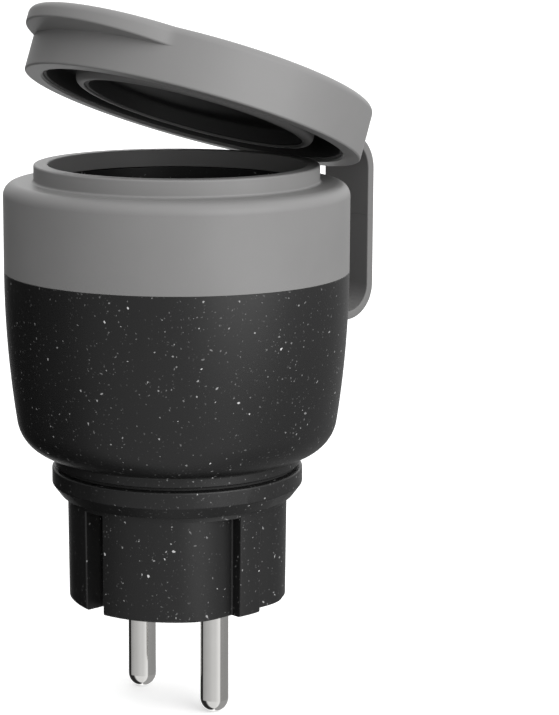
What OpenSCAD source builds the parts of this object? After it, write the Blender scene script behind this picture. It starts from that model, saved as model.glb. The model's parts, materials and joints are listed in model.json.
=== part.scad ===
// Outdoor smart plug adapter: a two-pin earthed plug below, an earthed socket
// above, and a soft lid on a strap. Z points up along the plug's axis, the pins
// lie along X, the lid's strap is at +Y, and the origin is the centre of the
// plug's face between the pins. The lid stands part open.

/* [Plug] */
// Radius of each round pin
pin_r = 2.4; // [2.3:0.05:2.5]
// Distance between the pins' axes
pin_spacing = 19; // [18.6:0.1:19.4]
// Length of each pin below the plug's face
pin_length = 19; // [18:0.5:20]
// Radius of the plug's body at its face
plug_r = 18.6; // [18.2:0.1:19]
// Distance from the axis to the flats beside the pins
flat_x = 16.5; // [16:0.1:17]
// Width of the rib left standing on each flat
rib_w = 4.6; // [3:0.2:6]
// Width of each earth slot
slot_w = 4.2; // [4:0.2:5]
// Distance from the axis to the floor of each earth slot
slot_floor_y = 14.9; // [14.4:0.1:15.2]
// Radius of the flange above the plug's body
flange_r = 21.4; // [21:0.1:22]

/* [Housing] */
// Outer radius of the collar and of the bowl's top
body_r = 29.1; // [28.5:0.1:30]
// Radius of the long curve of the bowl's side
bowl_curve_r = 174; // [150:2:190]
// Radius of the bowl's bottom corner
bowl_corner_r = 6.6; // [4:0.2:6.6]
// Wall thickness of the bowl
shell_wall = 2; // [1.6:0.1:2.2]
// Radius of the round button
button_r = 4; // [3:0.5:4.5]

/* [Socket] */
// Inner radius of the socket's cup
cup_r = 21.6; // [21.4:0.1:21.8]
// Depth of the cup's floor below the rim
cup_depth = 17.5; // [17:0.1:18]
// Outer radius of the raised rim
rim_r = 24; // [23.8:0.1:24.4]
// Radius of each pin hole in the cup's floor
socket_hole_r = 2.7; // [2.6:0.05:2.8]
// Angle that the shutter turns through
shutter_turn = 35; // [35:1:38]

/* [Lid] */
// Angle at which the lid stands open
lid_tilt = 20.1; // [15:0.1:25]
// Height of the lid
lid_h = 9.2; // [8.8:0.1:10]
// Width of the strap
strap_w = 11; // [8:0.5:12]
// Thickness of the strap
strap_t = 1.45; // [1.2:0.05:1.8]
// How far the finger tab stands out from the lid's wall
tab_reach = 4.8; // [2:0.1:5]

/* [Hidden] */
$fn = 96;
SMALL_FN = 32;
SLACK = 0.05;

// Heights along the axis
plug_drop_z = 17.2;
plug_chamfer = 0.35;
flange_z0 = 18.2;
flange_round = 0.5;
flange_z1 = 23;
seal_z1 = 23.55;
bowl_z0 = 25.4;
board_z = 33;
board_t = 1.6;
board_top = board_z + board_t;
board_screw_r = 20.5;
board_screw_angles = [30, 205];
bowl_z1 = 56.4;
collar_z0 = 56.6;
shoulder_z = 71.55;
rim_z = 74.5;
cup_floor_z = rim_z - cup_depth;
cup_floor_t = 1.5;
cup_wall = 1.5;
carrier_z = 51.6;
carrier_t = 1.2;
carrier_legs = [[15.4, 6.9], [-15.4, 6.9], [-16.8, -4.2], [14.6, -4.4]];
shutter_t = 1.3;
shutter_z = cup_floor_z - cup_floor_t - 0.2 - shutter_t;

// Radii and centres
pin_x = pin_spacing / 2;
collar_wall = 1.9;
collar_in_r = body_r - collar_wall;
lip_r = collar_in_r - 0.1;
neck_r = 20.9;
neck_in_r = 19.4;
floor_hole_r = 14;
screw_ring_r = 16.6;
bowl_axis_r = body_r - bowl_curve_r;
corner_z = bowl_z0 + bowl_corner_r;
corner_r = bowl_axis_r + sqrt(pow(bowl_curve_r - bowl_corner_r, 2) - pow(collar_z0 - corner_z, 2));
corner_angle = asin((collar_z0 - corner_z) / (bowl_curve_r - bowl_corner_r));

// Strap, in the plane of the hinge: where it leaves the bowl and the lid
strap_foot = [30.1, 45.25];
strap_y = 40.95;
strap_bend_low = 5.3;
strap_bend_high = 6;
lid_lug = [29.9, 6.5];
lid_closed_z = shoulder_z + 0.05;
lid_y = 3.45;
lid_head = [lid_y + lid_lug[0] * cos(lid_tilt) + lid_lug[1] * sin(lid_tilt),
    strap_foot[1] + sqrt(pow(lid_closed_z + lid_lug[1] - strap_foot[1], 2)
        + pow(lid_lug[0] - strap_foot[0], 2)
        - pow(lid_y + lid_lug[0] * cos(lid_tilt) + lid_lug[1] * sin(lid_tilt) - strap_foot[0], 2))];
lid_z = lid_head[1] + lid_lug[0] * sin(lid_tilt) - lid_lug[1] * cos(lid_tilt);
lid_r = body_r;
skirt_in_r = 26;
lip_ring_r = 20.6;
lip_ring_round = 1.2;
lip_ring_in_r = 18.9;
groove_h = 3.9;
tab_t = 2.9;
liner_sleeve_r = skirt_in_r - 0.6;
tab_half_angle = 36;
strap_end_gap = 0.15;

// Button on the bowl's side
button_z = 38.5;
button_face_x = 28.4;
button_back_x = 25.3;
switch_x = 22.4;
plunger_tip_x = 23.6;

black = [0.09, 0.09, 0.09];
grey = [0.47, 0.46, 0.46];
nickel = [0.75, 0.74, 0.72];
copper = [0.72, 0.45, 0.25];
rubber_black = [0.05, 0.05, 0.05];
board_green = [0.05, 0.25, 0.12];

// Points on an arc, from angle a0 to angle a1
function arc(centre, r, a0, a1, steps = 10) =
    [for (i = [0:steps]) centre + r * [cos(a0 + (a1 - a0) * i / steps), sin(a0 + (a1 - a0) * i / steps)]];

// A ring between two radii and two heights
module ring(r_in, r_out, z0, z1) {
    translate([0, 0, z0]) difference() {
        cylinder(r = r_out, h = z1 - z0);
        translate([0, 0, -1]) cylinder(r = r_in, h = z1 - z0 + 2);
    }
}

// A box given by its centre in plan, its size and its bottom height
module block(x, y, z, size) {
    translate([x - size[0] / 2, y - size[1] / 2, z]) cube(size);
}

// A path that starts with the mirror image of the points, in reverse
function both_sides(points) =
    concat([for (i = [len(points) - 1:-1:0]) [-points[i][0], points[i][1]]], points);

// The left-hand normal of a path's stretch number i
function side_of(points, i) =
    let (step = points[i + 1] - points[i]) [-step[1], step[0]] / norm(step);

// The offset direction at point i, mitred where two stretches meet
function mitre(points, i) =
    let (last = len(points) - 1, before = side_of(points, max(i - 1, 0)), after = side_of(points, min(i, last - 1)))
    (before + after) / (1 + before * after);

// A bent strip of sheet metal, drawn flat along a path
module strip_2d(points, t) {
    last = len(points) - 1;
    polygon(concat(
        [for (i = [0:last]) points[i] + mitre(points, i) * t / 2],
        [for (i = [last:-1:0]) points[i] - mitre(points, i) * t / 2]));
}

// Stands a drawing of the Y-Z plane up, with its width along X
module across_x(w) {
    rotate([90, 0, 90]) translate([0, 0, -w / 2]) linear_extrude(w) children();
}

// Puts the lid's parts, drawn closed about the origin, where the lid stands open
module at_lid() {
    translate([0, lid_y, lid_z]) rotate([-lid_tilt, 0, 0]) children();
}

// ---- Housing ----

// The bowl's side from its top edge to its bottom, moved inwards by an inset
function bowl_side(inset) = concat(
    arc([bowl_axis_r, collar_z0], bowl_curve_r - inset, -asin((collar_z0 - bowl_z1) / bowl_curve_r),
        -corner_angle, 14),
    arc([corner_r, corner_z], bowl_corner_r - inset, -corner_angle, -90, 8));

module body_shell() color(black) difference() {
    union() {
        rotate_extrude() difference() {
            polygon(concat(bowl_side(0), [[0, bowl_z0], [0, bowl_z1]]));
            polygon(concat(bowl_side(shell_wall), [[0, bowl_z0 + shell_wall], [0, bowl_z1 + 1],
                [body_r - shell_wall, bowl_z1 + 1]]));
        }
        ring(lip_r - 1.8, lip_r, bowl_z1 - 2.2, bowl_z1 + 4.4);
        ring(neck_in_r, neck_r, seal_z1, bowl_z0 + 0.5);
        for (a = board_screw_angles) rotate(a) translate([board_screw_r, 0, bowl_z0 + 1])
            cylinder(r = 2.4, h = board_z - bowl_z0 - 1 - 0.02, $fn = SMALL_FN);
    }
    for (a = board_screw_angles) rotate(a) translate([board_screw_r, 0, bowl_z0 + shell_wall])
        cylinder(r = 1.42, h = 10, $fn = SMALL_FN);
    translate([0, 0, bowl_z0 - 1]) cylinder(r = floor_hole_r, h = shell_wall + 2);
    ring(lip_r - 0.8, lip_r + 1, 58.3, 59.7);
    for (a = [45:90:315]) rotate(a) translate([screw_ring_r, 0, bowl_z0 - 1]) cylinder(r = 1.6, h = 5);
    translate([-body_r - 1, 0, button_z]) rotate([0, 90, 0]) cylinder(r = button_r + SLACK, h = 8);
    block(0, 27, strap_foot[1] - strap_t / 2 - SLACK, [strap_w + 2 * SLACK, 8, strap_t + 2 * SLACK]);
}

module collar_profile() {
    fillet = 2.2;
    polygon(concat(
        [[collar_in_r, collar_z0]],
        arc([body_r - 0.4, collar_z0 + 0.4], 0.4, -90, 0, 4),
        arc([body_r - fillet, shoulder_z - fillet], fillet, 0, 90, 8),
        arc([rim_r + 0.4, shoulder_z + 0.4], 0.4, -90, -180, 4),
        arc([rim_r - 0.5, rim_z - 0.5], 0.5, 0, 90, 6),
        arc([cup_r + 0.5, rim_z - 0.5], 0.5, 90, 180, 6),
        [[cup_r, shoulder_z], [cup_r + cup_wall + 0.1, shoulder_z], [cup_r + cup_wall + 0.1, shoulder_z - 1.8],
            [collar_in_r, shoulder_z - 1.8]]));
}

module collar() color(grey) rotate_extrude() collar_profile();

module collar_seal() color(rubber_black) ring(lip_r - 0.75, lip_r + 0.05, 58.4, 59.6);

module neck_seal() color(rubber_black) ring(neck_in_r, 20.3, flange_z1 + 0.05, seal_z1 - 0.05);

module screw(z_head, length) {
    translate([0, 0, z_head]) difference() {
        cylinder(r = 2.6, h = 1.8, $fn = SMALL_FN);
        translate([0, 0, 0.9]) cylinder(r = 1.2, h = 2, $fn = 6);
    }
    translate([0, 0, z_head - length]) cylinder(r = 1.4, h = length + 0.5, $fn = SMALL_FN);
}

module housing_screws() color(nickel)
    for (a = [45:90:315]) rotate(a) translate([screw_ring_r, 0, 0]) screw(bowl_z0 + shell_wall + 0.02, 9);

// ---- Plug ----

// The plug's earth strips: from one free end up the side, across inside and down again
earth_strip_y = slot_floor_y - 0.3;
earth_strip_path = both_sides([[11, 29.2], [11, 16.2], [earth_strip_y, 16.2], [earth_strip_y, 1.5]]);

module plug_base() color(black) difference() {
    union() {
        translate([0, 0, plug_chamfer])
            cylinder(r1 = plug_r, r2 = plug_r + 0.15, h = flange_z0 - plug_chamfer + 0.1);
        cylinder(r1 = plug_r - plug_chamfer, r2 = plug_r, h = plug_chamfer);
        rotate_extrude() polygon(concat(
            [[0, flange_z0], [flange_r - 1.5, flange_z0], [flange_r, flange_z0 + 2]],
            arc([flange_r - flange_round, flange_z1 - flange_round], flange_round, 0, 90, 6),
            [[neck_in_r - 0.1, flange_z1], [neck_in_r - 0.1, bowl_z0 - 0.1], [0, bowl_z0 - 0.1]]));
    }
    for (sx = [-1, 1], sy = [-1, 1])
        block(sx * (flat_x + 2.5), sy * (rib_w / 2 + 10), -1, [5, 20, plug_drop_z + 1]);
    for (sy = [-1, 1]) block(0, sy * (slot_floor_y + 3), -1, [slot_w, 6, plug_drop_z + 1]);
    for (sx = [-1, 1]) translate([sx * pin_x, 0, -1]) cylinder(r = pin_r + 0.02, h = 40);
    across_x(3.4) strip_2d(earth_strip_path, 1);
    for (a = [45:90:315]) rotate(a) translate([screw_ring_r, 0, 17.5]) cylinder(r = 1.42, h = 20, $fn = SMALL_FN);
}

module pin(x) color(nickel) translate([x, 0, 0]) {
    translate([0, 0, pin_r - pin_length]) cylinder(r = pin_r, h = pin_length - pin_r + 27);
    translate([0, 0, pin_r - pin_length]) sphere(r = pin_r);
    translate([0, 0, bowl_z0]) cylinder(r = 3.6, h = 1.2);
}

module pin_line() pin(pin_x);
module pin_neutral() pin(-pin_x);

module plug_earth_strips() color(nickel) across_x(3) strip_2d(earth_strip_path, 0.8);

module earth_link() color(copper) translate([0, 0, 29.65])
    cylinder(r = 1.2, h = carrier_z - 1.3 - 29.65, $fn = SMALL_FN);

// ---- Socket ----

module socket_cup() color(black) difference() {
    union() {
        translate([0, 0, cup_floor_z - cup_floor_t])
            cylinder(r = cup_r + cup_wall, h = shoulder_z - 0.05 - cup_floor_z + cup_floor_t);
        translate([0, 0, shutter_z - 1]) cylinder(r = 2, h = cup_floor_z - shutter_z);
    }
    translate([0, 0, cup_floor_z]) cylinder(r = cup_r, h = cup_depth);
    for (sx = [-1, 1]) translate([sx * pin_x, 0, cup_floor_z - 5]) cylinder(r = socket_hole_r, h = 10);
    for (sy = [-1, 1]) block(0, sy * 20.2, cup_floor_z - 5, [6.4, 2.2, 10]);
}

module shutter() color([0.85, 0.85, 0.82]) translate([0, 0, shutter_z]) difference() {
    cylinder(r = 13.2, h = shutter_t);
    translate([0, 0, -1]) cylinder(r = 2 + SLACK, h = 4);
    for (a = [0, 180]) rotate(shutter_turn + a) translate([pin_x, 0, -1]) cylinder(r = 2.8, h = 4);
}

module shutter_spring() color(nickel) {
    for (turn = [0:1]) translate([0, 0, carrier_z + carrier_t + 0.35 + turn * 0.5])
        rotate_extrude() translate([3.1, 0]) circle(r = 0.25, $fn = SMALL_FN);
    translate([3.1, 0, carrier_z + carrier_t + 0.35]) rotate([-90, 0, 0]) cylinder(r = 0.25, h = 7, $fn = SMALL_FN);
}

module contact_carrier() color([0.8, 0.8, 0.78]) {
    difference() {
        translate([0, 0, carrier_z]) cylinder(r = 19.2, h = carrier_t);
        for (sx = [-1, 1]) translate([sx * pin_x, 0, carrier_z - 1]) cylinder(r = 3.3, h = 5);
        translate([0, 0, carrier_z - 1]) cylinder(r = 2.3, h = 5);
    }
    for (leg = carrier_legs)
        translate([leg[0], leg[1], board_top + 0.02]) cylinder(r = 1.2, h = carrier_z - board_top, $fn = SMALL_FN);
}

module contact_tulip(x) color(copper) translate([x, 0, 0]) {
    difference() {
        translate([0, 0, 39]) cylinder(r = 3.1, h = 13.6);
        translate([0, 0, 38]) cylinder(r = pin_r + SLACK, h = 20);
        block(0, 0, 42, [8, 0.7, 20]);
    }
    translate([0, 0, board_top]) difference() {
        cylinder(r = 3.1, h = 39 - board_top + 0.1);
        translate([0, 0, 1]) cylinder(r = pin_r + SLACK, h = 10);
    }
}

module contact_line() contact_tulip(pin_x);
module contact_neutral() contact_tulip(-pin_x);

module earth_bridge() color(nickel) across_x(5.6)
    strip_2d(both_sides([[20.2, carrier_z - 0.7], [20.2, 60], [18.4, 65], [20.2, 69.5]]), 0.8);

// ---- Electronics ----

module main_board() color(board_green) difference() {
    translate([0, 0, board_z]) cylinder(r = 23, h = board_t);
    translate([0, 0, board_z - 1]) cylinder(r = 1.6, h = 4);
    for (a = board_screw_angles) rotate(a) translate([board_screw_r, 0, board_z - 1]) cylinder(r = 1.6, h = 4);
}

module board_screws() color(nickel)
    for (a = board_screw_angles) rotate(a) translate([board_screw_r, 0, 0]) screw(board_top + 0.02, 5.2);

module relay() color([0.08, 0.08, 0.1]) block(0, 11.4, board_top, [28, 11.6, 14.4]);

module transformer() {
    color([0.95, 0.85, 0.3]) block(-9, -10.6, board_top + 2, [11, 8, 6.5]);
    color([0.15, 0.15, 0.15]) block(-9, -10.6, board_top, [12.5, 10, 2.1]);
    color([0.15, 0.15, 0.15]) block(-9, -10.6, board_top + 8.4, [12.5, 10, 2]);
}

module filter_capacitor() color([0.12, 0.12, 0.3]) translate([3.4, -11.2, board_top]) {
    cylinder(r = 4, h = 12);
    cylinder(r = 4.2, h = 1.2);
}

module choke() color([0.3, 0.2, 0.12]) translate([12.4, -10.6, board_top]) {
    cylinder(r = 3.6, h = 1);
    cylinder(r = 2.8, h = 8.5);
    translate([0, 0, 7.5]) cylinder(r = 3.6, h = 1);
}

module surge_varistor() color([0.1, 0.25, 0.6]) translate([17.2, -1.5, board_top + 5]) {
    rotate([0, 90, 0]) cylinder(r = 4.2, h = 3.2);
    for (y = [-2.5, 2.5]) translate([1.6, y, -5]) cylinder(r = 0.35, h = 4, $fn = SMALL_FN);
}

module fuse() color([0.8, 0.75, 0.65]) translate([18.6, -9, board_top]) {
    cylinder(r = 1.8, h = 8);
    cylinder(r = 2, h = 1.4);
    translate([0, 0, 6.6]) cylinder(r = 2, h = 1.4);
}

module current_shunt() color(copper) translate([-16.5, 0, 0]) across_x(2.4)
    strip_2d([[3.5, board_top + 0.4], [3.5, board_top + 4], [-2, board_top + 4], [-2, board_top + 0.4]], 0.8);

module metering_chip() color([0.07, 0.07, 0.07]) block(0.2, -4.1, board_top, [5, 4, 1.5]);

module radio_module() color([0.1, 0.2, 0.45]) {
    block(0, -19.6, board_top, [17, 0.8, 13]);
    block(0, -18.35, board_top + 4, [12, 1.8, 7]);
}

// A strip from a plug pin's head to the board, drawn along X
module busbar(side) color(copper) rotate([90, 0, 0]) translate([0, 0, -2]) linear_extrude(4)
    strip_2d([[side * 6.8, 28.6], [side * 14.5, 28.6], [side * 14.5, board_z - 0.45]], 0.8);

module line_busbar() busbar(1);
module neutral_busbar() busbar(-1);

// ---- Button ----

module switch_body() color([0.1, 0.1, 0.1]) difference() {
    block(-switch_x + 1.9, 0, board_top, [3.8, 6.2, 7]);
    translate([-switch_x - 1, 0, button_z]) rotate([0, 90, 0]) cylinder(r = 1.5 + SLACK, h = 3);
}

module switch_plunger() color([0.6, 0.6, 0.6]) translate([-plunger_tip_x, 0, button_z]) rotate([0, 90, 0])
    cylinder(r = 1.5, h = plunger_tip_x - switch_x + 0.9);

module button() color(rubber_black) translate([0, 0, button_z]) rotate([0, -90, 0]) {
    translate([0, 0, button_back_x - 0.1]) cylinder(r = button_r, h = button_face_x - button_back_x - 0.4);
    translate([0, 0, button_face_x - 0.5]) cylinder(r1 = button_r, r2 = button_r - 0.5, h = 0.5);
    translate([0, 0, button_back_x - 0.8]) cylinder(r = button_r + 0.7, h = 0.8);
    translate([0, 0, plunger_tip_x + 0.05]) cylinder(r = 1.4, h = 1.2);
}

// ---- Lid and strap ----

module lid() color(grey) at_lid() {
    fillet = 1.3;
    rotate_extrude() polygon(concat(
        [[0, lid_h], [0, lid_h - 2], [skirt_in_r, lid_h - 2], [skirt_in_r, 0.3], [skirt_in_r + 0.3, 0]],
        arc([lid_r - 0.3, 0.3], 0.3, -90, 0, 3),
        arc([lid_r - fillet, lid_h - fillet], fillet, 0, 90, 7)));
    tab_r_far = lid_r + tab_reach;
    side = lid_r * [sin(tab_half_angle), cos(tab_half_angle)];
    tab_shift = (pow(tab_r_far, 2) - pow(lid_r, 2)) / (2 * (tab_r_far - side[1]));
    translate([0, -tab_shift, lid_h - tab_t - 0.2]) difference() {
        cylinder(r = tab_r_far - tab_shift, h = tab_t);
        translate([0, tab_shift, -1]) cylinder(r = skirt_in_r + 1, h = tab_t + 2);
        translate([-40, 0, -1]) cube([80, 80, tab_t + 2]);
    }
}

module lid_liner() color(rubber_black) at_lid() rotate_extrude() polygon([
    [0, lid_h - 2.05], [0, groove_h - 0.5], [lip_ring_in_r - 0.7, groove_h - 0.5], [lip_ring_in_r - 0.7, 0.7],
    [lip_ring_in_r - 0.05, 0.7], [lip_ring_in_r - 0.05, groove_h + 0.65], [lip_ring_r + 0.05, groove_h + 0.65],
    [lip_ring_r + 0.05, groove_h], [liner_sleeve_r, groove_h], [liner_sleeve_r, 0.5], [skirt_in_r - 0.05, 0.5],
    [skirt_in_r - 0.05, lid_h - 2.05]]);

module lid_seal() color(grey) at_lid() rotate_extrude() polygon(concat(
    arc([lip_ring_in_r + 0.3, 0.7], 0.3, 180, 270, 4),
    arc([lip_ring_r - lip_ring_round, 0.4 + lip_ring_round], lip_ring_round, -90, 0, 8),
    [[lip_ring_r, groove_h + 0.6], [lip_ring_in_r, groove_h + 0.6]]));

// The strap's centre line, from its end at the bowl's wall to its end at the lid's
function strap_path() = let (
    low_end = strap_foot + [strap_end_gap, 0],
    high_end = lid_head + strap_end_gap * [cos(lid_tilt), -sin(lid_tilt)],
    low_centre = [strap_y - strap_bend_low, strap_foot[1] + strap_bend_low],
    turn = 90 - lid_tilt,
    knee_y = strap_y - strap_bend_high + strap_bend_high * cos(turn),
    knee_z = lid_head[1] - (knee_y - lid_head[0]) * tan(lid_tilt),
    high_centre = [strap_y - strap_bend_high, knee_z - strap_bend_high * sin(turn)])
    concat([low_end], arc(low_centre, strap_bend_low, -90, 0), arc(high_centre, strap_bend_high, 0, turn), [high_end]);

module strap() color(grey) across_x(strap_w) strip_2d(strap_path(), strap_t);

module strap_anchor() color(grey) {
    block(0, 27.2, strap_foot[1] - strap_t / 2, [strap_w, 4, strap_t]);
    block(0, 24.7, strap_foot[1] - 2.5, [strap_w + 2, 1.2, 5]);
}

body_shell();
collar();
collar_seal();
neck_seal();
plug_base();
pin_line();
pin_neutral();
plug_earth_strips();
earth_link();
housing_screws();
socket_cup();
shutter();
shutter_spring();
contact_carrier();
contact_line();
contact_neutral();
earth_bridge();
main_board();
board_screws();
relay();
transformer();
filter_capacitor();
choke();
surge_varistor();
fuse();
current_shunt();
metering_chip();
radio_module();
line_busbar();
neutral_busbar();
switch_body();
switch_plunger();
button();
lid();
lid_liner();
lid_seal();
strap();
strap_anchor();
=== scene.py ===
"""Looks of an outdoor smart plug adapter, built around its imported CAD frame.

Lengths in the builders below are in millimetres and are turned into metres when
a mesh is made. The plug's axis is Z, its pins lie along X and the strap is at +Y.
"""

import json
import math
import bmesh
import bpy
from mathutils import Matrix, Vector


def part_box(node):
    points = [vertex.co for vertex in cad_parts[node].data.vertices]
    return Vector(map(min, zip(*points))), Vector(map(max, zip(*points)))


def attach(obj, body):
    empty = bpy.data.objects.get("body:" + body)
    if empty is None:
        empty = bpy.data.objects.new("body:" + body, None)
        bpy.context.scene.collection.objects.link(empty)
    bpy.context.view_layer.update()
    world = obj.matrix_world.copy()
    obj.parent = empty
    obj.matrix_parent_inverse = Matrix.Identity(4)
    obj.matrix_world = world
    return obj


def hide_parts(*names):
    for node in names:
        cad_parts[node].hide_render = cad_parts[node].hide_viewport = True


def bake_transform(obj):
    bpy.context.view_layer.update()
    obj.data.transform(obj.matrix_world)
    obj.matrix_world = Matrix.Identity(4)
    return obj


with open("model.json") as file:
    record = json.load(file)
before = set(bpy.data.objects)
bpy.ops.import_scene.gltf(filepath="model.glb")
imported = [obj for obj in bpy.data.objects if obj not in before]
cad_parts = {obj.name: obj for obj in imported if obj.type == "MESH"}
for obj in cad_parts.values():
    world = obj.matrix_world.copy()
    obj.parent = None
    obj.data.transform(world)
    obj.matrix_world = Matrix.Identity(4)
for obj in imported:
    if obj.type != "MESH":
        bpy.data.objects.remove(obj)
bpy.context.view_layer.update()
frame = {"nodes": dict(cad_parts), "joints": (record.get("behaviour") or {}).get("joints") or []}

MM = 0.001
SEGMENTS = 224
HAIR = 0.002

# ---------------------------------------------------------------- the frame


def corners(node):
    """The lowest and highest corner of a CAD node, in millimetres."""
    low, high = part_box(node)
    return low / MM, high / MM


JOINTS = {joint["name"]: joint for joint in frame["joints"]}

bowl_low, bowl_high = corners("body_shell")
collar_low, collar_high = corners("collar")
cup_low, cup_high = corners("socket_cup")
base_high = corners("plug_base")[1]
pin_low, pin_high = corners("pin_line")
button_low, button_high = corners("button")
anchor_low = corners("strap_anchor")[0]

BODY_R = collar_high.x
COLLAR_Z0 = collar_low.z
RIM_Z = collar_high.z
SHOULDER_Z = RIM_Z - 2.95
CUP_R = 21.6
CUP_DEPTH = 17.5
RIM_R = 24.0

# Bowl
BOWL_Z0 = bowl_low.z + 1.85
BOWL_Z1 = COLLAR_Z0 - 0.03
BOWL_EDGE_R = 0.06
BOWL_CURVE_R = 174.0
BOWL_CORNER_R = 6.6
SHELL_WALL = 2.0
NECK_R = 20.9
NECK_IN_R = 19.4
FLOOR_HOLE_R = 14.0
LIP_R = 27.0
LIP_WALL = 1.8
LEDGE = 2.2
SEAL_GROOVE_DEPTH = 0.8
SEAL_GROOVE_Z = (58.3, 59.7)
BUTTON_HOLE_R = 4.05

# Plug
PLUG_R = 18.6
FLAT_X = 16.5
RIB_HALF = 2.3
FLAT_END_Y = 5.5
SLOT_HALF = 2.1
SLOT_FLOOR = 14.9
PLUG_LEAN = 0.15
FLANGE_R = base_high.x
FLANGE_Z0 = 18.2
FLANGE_SIDE_Z0 = 20.2
FLANGE_Z1 = 23.0
FLANGE_BEVEL = 1.5
DROP_Z = 17.2
PIN_X = (pin_low.x + pin_high.x) / 2
PIN_R = 2.4

# Lid, drawn closed about its own origin
LID_TILT = math.radians(20.1)
LID_H = 9.2
LID_LUG = (29.9, 6.5)
LID_FILLET = 1.3
SKIRT_IN_R = 26.0
TAB_Z = 5.8
TAB_SLOPE = 0.135
TAB_REACH = 4.8
TAB_HALF_ANGLE = math.radians(36)
RING_R = 20.6
RING_IN_R = 18.9
GROOVE_H = 3.9
SLEEVE_R = 25.4

# Strap, in the plane of the hinge (Y, Z)
STRAP_W = 11.0
STRAP_T = 1.45
STRAP_FOOT = Vector(JOINTS["strap_swing"]["pos_m"][1:]) / MM
STRAP_HEAD = Vector(JOINTS["lid_hinge"]["pos_m"][1:]) / MM
STRAP_Y = 40.95
STRAP_BEND_LOW = 5.3
STRAP_BEND_HIGH = 6.0
CREASE_Z = 62.8


def lid_matrix():
    """Where the lid stands: its lug is at the lid's hinge."""
    turn = Matrix.Rotation(-LID_TILT, 4, "X")
    lug = turn @ Vector((0, LID_LUG[0], LID_LUG[1]))
    return Matrix.Translation(Vector((0, *STRAP_HEAD)) - lug) @ turn


# ------------------------------------------------------------ outlines, in 2D


def arc(centre, radius, start, end, steps):
    """Points on an arc, with its angles in degrees."""
    angles = [math.radians(start + (end - start) * i / steps) for i in range(steps + 1)]
    return [(centre[0] + radius * math.cos(a), centre[1] + radius * math.sin(a)) for a in angles]


def rounded(corners_2d, closed=True, step=11):
    """An outline from (x, y) or (x, y, radius) corners, with each radius turned into an arc."""
    outline = []
    count = len(corners_2d)
    for i, corner in enumerate(corners_2d):
        here = Vector(corner[:2])
        radius = corner[2] if len(corner) > 2 else 0
        if radius == 0 or (not closed and i in (0, count - 1)):
            outline.append(tuple(here))
            continue
        back = (Vector(corners_2d[i - 1][:2]) - here).normalized()
        ahead = (Vector(corners_2d[(i + 1) % count][:2]) - here).normalized()
        half = back.angle(ahead) / 2
        centre = here + (back + ahead).normalized() * radius / math.sin(half)
        first = here + back * radius / math.tan(half) - centre
        last = here + ahead * radius / math.tan(half) - centre
        turn = first.angle_signed(last)
        steps = max(2, math.ceil(abs(math.degrees(turn)) / step))
        for k in range(steps + 1):
            spoke = Matrix.Rotation(-turn * k / steps, 2) @ first
            outline.append(tuple(centre + spoke))
    return outline


# ------------------------------------------------------------------- meshes


def finish_piece(name, bm, sharp=32):
    """Makes an object in metres from a bmesh in millimetres, smooth but for its sharp edges."""
    bmesh.ops.remove_doubles(bm, verts=bm.verts, dist=HAIR)
    bmesh.ops.dissolve_degenerate(bm, edges=bm.edges, dist=HAIR)
    bmesh.ops.recalc_face_normals(bm, faces=bm.faces)
    bmesh.ops.scale(bm, vec=(MM, MM, MM), verts=bm.verts)
    mesh = bpy.data.meshes.new(name)
    bm.to_mesh(mesh)
    bm.free()
    piece = bpy.data.objects.new(name, mesh)
    bpy.context.scene.collection.objects.link(piece)
    shade(piece, sharp)
    return piece


def shade(piece, sharp=32):
    """Smooth shading that breaks at edges sharper than an angle."""
    piece.data.polygons.foreach_set("use_smooth", [True] * len(piece.data.polygons))
    piece.data.set_sharp_from_angle(angle=math.radians(sharp))
    weighted = piece.modifiers.new("even_shading", "WEIGHTED_NORMAL")
    weighted.keep_sharp = True
    weighted.weight = 100


def bridge(bm, rows, wrap):
    """Faces between neighbouring rows of vertices. A row of one vertex is a pole."""
    pairs = list(zip(rows, rows[1:])) + ([(rows[-1], rows[0])] if wrap else [])
    for low, high in pairs:
        count = max(len(low), len(high))
        for i in range(count):
            j = (i + 1) % count
            loop = [low[i % len(low)], low[j % len(low)], high[j % len(high)], high[i % len(high)]]
            loop = list(dict.fromkeys(loop))
            if len(loop) > 2 and not bm.faces.get(loop):
                bm.faces.new(loop)


def lathe(name, outline, wrap=True, place=None, segments=SEGMENTS):
    """Turns an outline of (radius, height) points about Z, or about the axis that place moves Z to."""
    bm = bmesh.new()
    place = place or Matrix.Identity(4)
    rows = []
    for radius, height in outline:
        spokes = 1 if radius < HAIR else segments
        angles = [2 * math.pi * i / segments for i in range(spokes)]
        spots = [Vector((radius * math.cos(a), radius * math.sin(a), height)) for a in angles]
        rows.append([bm.verts.new(place @ spot) for spot in spots])
    bridge(bm, rows, wrap)
    return finish_piece(name, bm)


def loft(name, rings, place=None, sharp=32):
    """Joins rings of the same number of points and caps both ends."""
    bm = bmesh.new()
    place = place or Matrix.Identity(4)
    rows = [[bm.verts.new(place @ Vector(spot)) for spot in ring] for ring in rings]
    bridge(bm, rows, wrap=False)
    for end in (rows[0], rows[-1]):
        bm.faces.new(end)
    return finish_piece(name, bm, sharp)


def block(name, low, high):
    """A box, used only to cut."""
    bm = bmesh.new()
    bmesh.ops.create_cube(bm, size=1)
    for vert in bm.verts:
        vert.co = Vector(low[i] if vert.co[i] < 0 else high[i] for i in range(3))
    return finish_piece(name, bm)


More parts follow.
